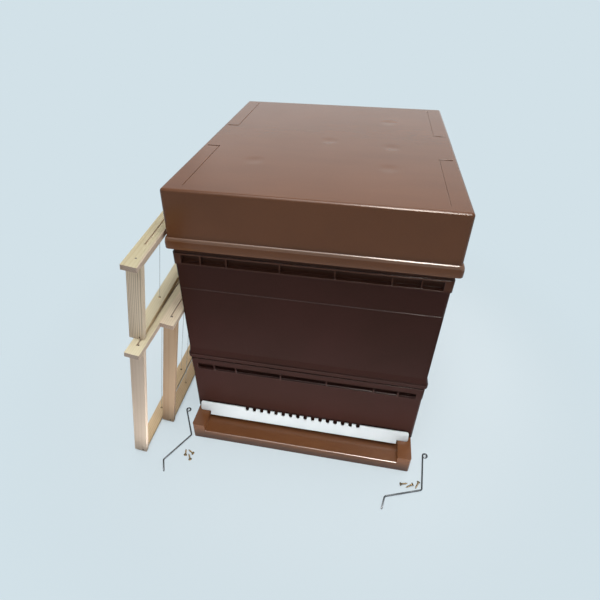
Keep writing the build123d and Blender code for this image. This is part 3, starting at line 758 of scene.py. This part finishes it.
# Wire hooks
def rounded_corner(before, corner, after):
    back = (before - corner).normalized()
    ahead = (after - corner).normalized()
    half = back.angle(ahead) / 2
    reach = HOOK_BEND / math.tan(half)
    centre = corner + (back + ahead).normalized() * (HOOK_BEND / math.sin(half))
    start = (corner + back * reach - centre).normalized()
    end = (corner + ahead * reach - centre).normalized()
    turns = [start.slerp(end, step / HOOK_BEND_STEPS) for step in range(HOOK_BEND_STEPS + 1)]
    return [centre + turn * HOOK_BEND for turn in turns]


def hook_path(name):
    low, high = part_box("floor_base")
    corner_x = low.x if name == "left_hook" else high.x
    points = [Vector((corner_x + x, low.y + y, HOOK_RADIUS)) for x, y in HOOK_CORNERS[name]]
    heading = (points[1] - points[0]).normalized()
    across = Vector((-heading.y, heading.x, 0.0))
    eye = points[0] + across * HOOK_EYE
    path = []
    for step in range(HOOK_EYE_STEPS):
        turn = Matrix.Rotation(-HOOK_EYE_ARC * (1 - step / HOOK_EYE_STEPS), 3, "Z")
        path.append(eye + turn @ (across * -HOOK_EYE))
    path.append(points[0])
    for before, corner, after in zip(points, points[1:], points[2:]):
        path += rounded_corner(before, corner, after)
    path.append(points[-1])
    return path


def wire_mesh(path):
    bm = bmesh.new()
    rings = []
    end_radius = HOOK_END_SHARE * HOOK_RADIUS
    last = len(path) - 1
    for index, point in enumerate(path):
        direction = (path[min(index + 1, last)] - path[max(index - 1, 0)]).normalized()
        axes = axes_across(direction)
        end_step = direction * (HOOK_END_REACH * HOOK_RADIUS)
        if index == 0:
            rings.append(ring_of(bm, point - end_step, axes, end_radius, HOOK_SIDES))
        rings.append(ring_of(bm, point, axes, HOOK_RADIUS, HOOK_SIDES))
        if index == last:
            rings.append(ring_of(bm, point + end_step, axes, end_radius, HOOK_SIDES))
    join_rows(bm, rings)
    bm.faces.new(rings[0])
    bm.faces.new(rings[-1])
    return bm


def make_hooks():
    for name in HOOK_CORNERS:
        bm = wire_mesh(hook_path(name))
        piece = new_piece(f"{name}_wire", bm, materials["hook"], "floor")
        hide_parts(name)


# Threaded screws
def islands(obj):
    bm = bmesh.new()
    bm.from_mesh(obj.data)
    bmesh.ops.remove_doubles(bm, verts=bm.verts, dist=WELD_REACH)
    left = set(bm.verts)
    found = []
    while left:
        stack = [left.pop()]
        island = list(stack)
        while stack:
            for edge in stack.pop().link_edges:
                for vertex in edge.verts:
                    if vertex in left:
                        left.remove(vertex)
                        stack.append(vertex)
                        island.append(vertex)
        found.append(sorted((vertex.co.copy() for vertex in island), key=tuple))
    bm.free()
    return sorted(found, key=lambda points: tuple(points[0]))


def average(points):
    return sum(points, Vector()) / len(points)


def screw_ends(points):
    middle = average(points)
    tip = max(points, key=lambda point: (point - middle).length)
    rough = (tip - middle).normalized()
    low_end = min((point - tip).dot(rough) for point in points)
    head = average([point for point in points if (point - tip).dot(rough) < low_end + HEAD_BAND])
    end = average([point for point in points if (point - tip).dot(rough) > -POINT_BAND])
    return head, end


def thread_ring(bm, centre, axes, depth, taper):
    across, up = axes
    ring = []
    for index in range(THREAD_SIDES):
        angle = 2 * math.pi * index / THREAD_SIDES
        phase = (depth / THREAD_PITCH - index / THREAD_SIDES) % 1.0
        ridge = THREAD_DEPTH * (1 - abs(2 * phase - 1)) ** THREAD_SHARPNESS
        radius = (SHANK_RADIUS - THREAD_DEPTH + ridge) * taper
        offset = across * (radius * math.cos(angle)) + up * (radius * math.sin(angle))
        ring.append(bm.verts.new(centre + offset))
    return ring


def make_screw(bm, head, end):
    direction = (end - head).normalized()
    length = (end - head).length
    axes = axes_across(direction)
    neck = HEAD_RIM + (HEAD_RADIUS - SHANK_RADIUS)
    plain_to = neck + SHANK_PLAIN
    threaded = length - POINT_END - plain_to
    profile = (
        (HEAD_DOME, HEAD_DOME_SHARE * HEAD_RADIUS),
        (HEAD_RIM, HEAD_RADIUS),
        (neck, SHANK_RADIUS),
        (plain_to, SHANK_RADIUS),
    )
    rings = [ring_of(bm, head + direction * depth, axes, radius, THREAD_SIDES) for depth, radius in profile]
    rows = int(threaded / THREAD_PITCH * THREAD_STEPS)
    for row in range(1, rows + 1):
        depth = plain_to + threaded * row / rows
        taper = min(1.0, max(POINT_BLUNT, (length - depth) / POINT_LENGTH))
        rings.append(thread_ring(bm, head + direction * depth, axes, depth, taper))
    join_rows(bm, rings)
    tip = bm.verts.new(head + direction * length)
    last = rings[-1]
    for index in range(THREAD_SIDES):
        bm.faces.new((last[index], last[(index + 1) % THREAD_SIDES], tip))
    cut_recess(bm, rings[0], head, direction, axes)


def cut_recess(bm, rim, head, direction, axes):
    across, up = axes
    reach = RECESS_REACH * HEAD_RADIUS
    half = RECESS_WIDTH * HEAD_RADIUS
    corners = []
    for quarter in range(4):
        turn = Matrix.Rotation(quarter * math.pi / 2, 2)
        for corner in ((reach, -half), (reach, half), (half, half)):
            corners.append(turn @ Vector(corner))

    def outline(centre, share):
        return [bm.verts.new(centre + across * (share * x) + up * (share * y)) for x, y in corners]

    mouth = outline(head, 1.0)
    base = outline(head + direction * RECESS_DEPTH, RECESS_TAPER)
    join_rings(bm, mouth, base)
    bm.faces.new(base)
    bmesh.ops.bridge_loops(bm, edges=ring_edges(bm, rim) + ring_edges(bm, mouth))


def make_screws():
    for name in ("left_screws", "right_screws"):
        bm = bmesh.new()
        for points in islands(nodes[name]):
            make_screw(bm, *screw_ends(points))
        brass = materials["brass"]
        piece = new_piece(f"{name}_threaded", bm, brass, "floor", SCREW_SMOOTH_ANGLE)
        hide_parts(name)


# Nails through the bars and eyelets round the wires
def disc_rings(bm, centre, normal, rows):
    axes = axes_across(normal)
    rings = [ring_of(bm, centre + normal * height, axes, radius, DISC_SIDES) for radius, height in rows]
    join_rows(bm, rings)
    return rings


def add_nail(bm, centre, normal):
    rings = disc_rings(bm, centre, normal, NAIL_ROWS)
    bm.faces.new(rings[0])
    bm.faces.new(rings[-1])


def add_eyelet(bm, centre, normal):
    rings = disc_rings(bm, centre, normal, EYELET_OUTSIDE + EYELET_BORE)
    join_rings(bm, rings[-1], rings[0])


def span(names, direction):
    values = [vertex.co.dot(direction) for name in names for vertex in nodes[name].data.vertices]
    return min(values), max(values)


def fit_frame(nails, eyelets, bars, along, up):
    width = along.cross(up)
    y_low, y_high = span(bars, along)
    z_low, z_high = span(bars, up)
    x_low, x_high = span(bars, width)
    middle_x = (x_low + x_high) / 2
    middle_y = (y_low + y_high) / 2
    half = (y_high - y_low) / 2 - LUG_LENGTH

    def at(x, y, z):
        return width * (middle_x + x) + along * (middle_y + y) + up * z

    for side in (-1, 1):
        add_nail(nails, at(TOP_NAIL_ASIDE, side * (half - NAIL_INSET), z_high), up)
        add_nail(nails, at(LOW_NAIL_ASIDE, side * half, z_low + NAIL_INSET), along * side)
    for y in WIRE_PLACES:
        add_eyelet(eyelets, at(0.0, y, z_low + BOTTOM_BAR_THICK), up)
        add_eyelet(eyelets, at(0.0, y, z_high - TOP_BAR_THICK), -up)


def make_frame_metal(label, body, frames, along, up):
    nails = bmesh.new()
    eyelets = bmesh.new()
    for bars in frames:
        fit_frame(nails, eyelets, bars, along, up)
    new_piece(f"{label}_nails", nails, materials["nail"], body)
    new_piece(f"{label}_eyelets", eyelets, materials["brass"], body)


def make_all_frame_metal():
    level = Vector((0.0, 1.0, 0.0))
    plumb = Vector((0.0, 0.0, 1.0))
    for kind in HUNG_KINDS:
        names = sorted(name for name in nodes if name.startswith(f"{kind}_frame_"))
        frames = [[name] for name in names if not name.endswith("_wires")]
        make_frame_metal(f"{kind}_frame", f"{kind}_frames", frames, level, plumb)
    for kind in LOOSE_KINDS:
        bars = [f"{kind}_{bar}" for bar in BARS]
        along = bar_axis(nodes[bars[0]])
        up = bar_axis(nodes[bars[1]])
        along = along if along.y > 0 else -along
        up = up if up.z > 0 else -up
        make_frame_metal(kind, kind, [bars], along, up)


# Rounded roll of plastic round the roof's foot
def lip_profile():
    reach = LIP_PROUD + LIP_SKIN
    rows = []
    for step in range(LIP_ARC_STEPS + 1):
        share = step / LIP_ARC_STEPS
        angle = math.radians(90) * (1 - share)
        out = reach * math.cos(angle) - 2 * LIP_SKIN * (1 - share)
        height = LIP_SHOULDER + (LIP_TOP - LIP_SHOULDER) * math.sin(angle)
        corner = ROOF_CORNER + (LIP_CORNER - ROOF_CORNER) * share
        rows.append((out, height, corner))
    rows.append((reach, LIP_FOOT_ROUND, LIP_CORNER))
    rows.append((reach - LIP_FOOT_ROUND, -LIP_SKIN, LIP_CORNER))
    rows.append((LIP_SKIN, -LIP_SKIN, LIP_CORNER))
    rows.append((-LIP_TUCK, LIP_SHOULDER, ROOF_CORNER))
    return rows


def rounded_outline(half_x, half_y, radius):
    outline = []
    for quarter, (sign_x, sign_y) in enumerate(CORNER_SIGNS):
        centre = Vector((sign_x * (half_x - radius), sign_y * (half_y - radius), 0.0))
        for step in range(LIP_CORNER_STEPS + 1):
            angle = (quarter + step / LIP_CORNER_STEPS) * math.pi / 2
            outward = Vector((math.cos(angle), math.sin(angle), 0.0))
            outline.append((centre + outward * radius, outward))
    return outline


def make_lip_roll():
    low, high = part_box("roof")
    bm = bmesh.new()
    rings = []
    for out, height, corner in lip_profile():
        level = Vector((0.0, 0.0, low.z + height))
        outline = rounded_outline(high.x - LIP_PROUD, high.y - LIP_PROUD, corner)
        rings.append([bm.verts.new(point + outward * out + level) for point, outward in outline])
    join_rows(bm, rings + rings[:1])
    piece = new_piece("roof_lip_roll", bm, materials["roof"], "roof")
    # Faces on the crest take the paler edge colour: partly rubbed wear, partly painted highlight
    piece.data.materials.append(materials["roof_edge_wear_and_highlight"])
    for face in piece.data.polygons:
        if LIP_CREST[0] < face.normal.z < LIP_CREST[1]:
            face.material_index = 1


# Stage: floor, sky, lamps and camera
def seen_rays(tree):
    path = add(tree, "ShaderNodeLightPath").outputs
    seen = maths(tree, "MAXIMUM", path["Is Camera Ray"], path["Is Glossy Ray"])
    return maths(tree, "MAXIMUM", seen, path["Is Transmission Ray"])


def stage_material():
    material, tree = new_material("stage_floor")
    place = object_coordinates(tree)
    distance = add(tree, "ShaderNodeVectorMath", {0: place}, operation="LENGTH").outputs["Value"]
    near = spread(tree, distance, NEAR_FLOOR, FALL, smooth=True)
    colour = ramp(tree, near, RISE, (FAR_BOUNCE, NEAR_BOUNCE))
    matte = add(tree, "ShaderNodeBsdfDiffuse", {"Color": colour})
    glow = add(tree, "ShaderNodeEmission", {"Color": BACKDROP, "Strength": 1.0})
    steady = spread(tree, near, RISE, (1.0, 1.0 - SHADOW_SHARE))
    sockets = {"Distance": CONTACT_REACH}
    open_sky = add(tree, "ShaderNodeAmbientOcclusion", sockets, samples=CONTACT_SAMPLES).outputs["AO"]
    steady = maths(tree, "MULTIPLY", steady, spread(tree, open_sky, CONTACT_SPAN, CONTACT_SHADE))
    share = maths(tree, "MULTIPLY", seen_rays(tree), steady)
    mix = add(tree, "ShaderNodeMixShader", {0: share, 1: matte.outputs[0], 2: glow.outputs[0]})
    add(tree, "ShaderNodeOutputMaterial", {"Surface": mix.outputs[0]})
    return material


def make_floor():
    mesh = bpy.data.meshes.new("stage_floor")
    corners = [(x * STAGE_HALF, y * STAGE_HALF, STAGE_LEVEL) for x, y in CORNER_SIGNS]
    mesh.from_pydata(corners, [], [(0, 1, 2, 3)])
    mesh.materials.append(stage_material())
    floor = bpy.data.objects.new("stage_floor", mesh)
    bpy.context.scene.collection.objects.link(floor)


def make_world():
    world = bpy.data.worlds.new("studio")
    bpy.context.scene.world = world
    world.use_nodes = True
    tree = world.node_tree
    tree.nodes.clear()
    axes = split(tree, add(tree, "ShaderNodeTexCoord").outputs["Generated"])
    depth = spread(tree, axes["Y"], FILL_SPAN, FILL_DEPTH)
    side = spread(tree, axes["X"], SIDE_SPAN, (1.0 - SIDE_LEAN, 1.0 + SIDE_LEAN))
    strength = maths(tree, "MULTIPLY", depth, side)
    seen = add(tree, "ShaderNodeBackground", {"Color": BACKDROP, "Strength": 1.0})
    fill = add(tree, "ShaderNodeBackground", {"Color": FILL_COLOUR, "Strength": strength})
    mix = add(tree, "ShaderNodeMixShader", {0: seen_rays(tree), 1: fill.outputs[0], 2: seen.outputs[0]})
    add(tree, "ShaderNodeOutputWorld", {"Surface": mix.outputs[0]})


def make_lamps():
    for name, (place, aim, size, watts, tint, matte, gloss) in LAMPS.items():
        light = bpy.data.lights.new(name, "AREA")
        light.shape = "RECTANGLE"
        light.size = size[0]
        light.size_y = size[1]
        light.energy = watts
        light.color = tint
        lamp = bpy.data.objects.new(name, light)
        lamp.location = place
        lamp.rotation_euler = (Vector(aim) - Vector(place)).to_track_quat("-Z", "Y").to_euler()
        lamp.visible_camera = False
        lamp.visible_diffuse = matte
        lamp.visible_glossy = gloss
        bpy.context.scene.collection.objects.link(lamp)


def make_camera():
    level = math.cos(CAMERA_PITCH)
    drop = math.sin(CAMERA_PITCH)
    forward = Vector((math.sin(CAMERA_YAW) * level, math.cos(CAMERA_YAW) * level, -drop))
    data = bpy.data.cameras.new("camera")
    data.sensor_width = SENSOR
    data.lens = FOCAL_PIXELS / IMAGE_SIZE * SENSOR
    data.shift_x = (IMAGE_SIZE / 2 - CENTRE_PIXEL[0]) / IMAGE_SIZE
    data.shift_y = (CENTRE_PIXEL[1] - IMAGE_SIZE / 2) / IMAGE_SIZE
    data.clip_start = CAMERA_NEAR
    camera = bpy.data.objects.new("camera", data)
    camera.location = CAMERA_PLACE
    camera.rotation_euler = forward.to_track_quat("-Z", "Y").to_euler()
    bpy.context.scene.collection.objects.link(camera)
    bpy.context.scene.camera = camera


dress_nodes()
make_hooks()
make_screws()
make_all_frame_metal()
make_lip_roll()
make_floor()
make_world()
make_lamps()
make_camera()
bpy.context.scene.view_settings.view_transform = "Standard"
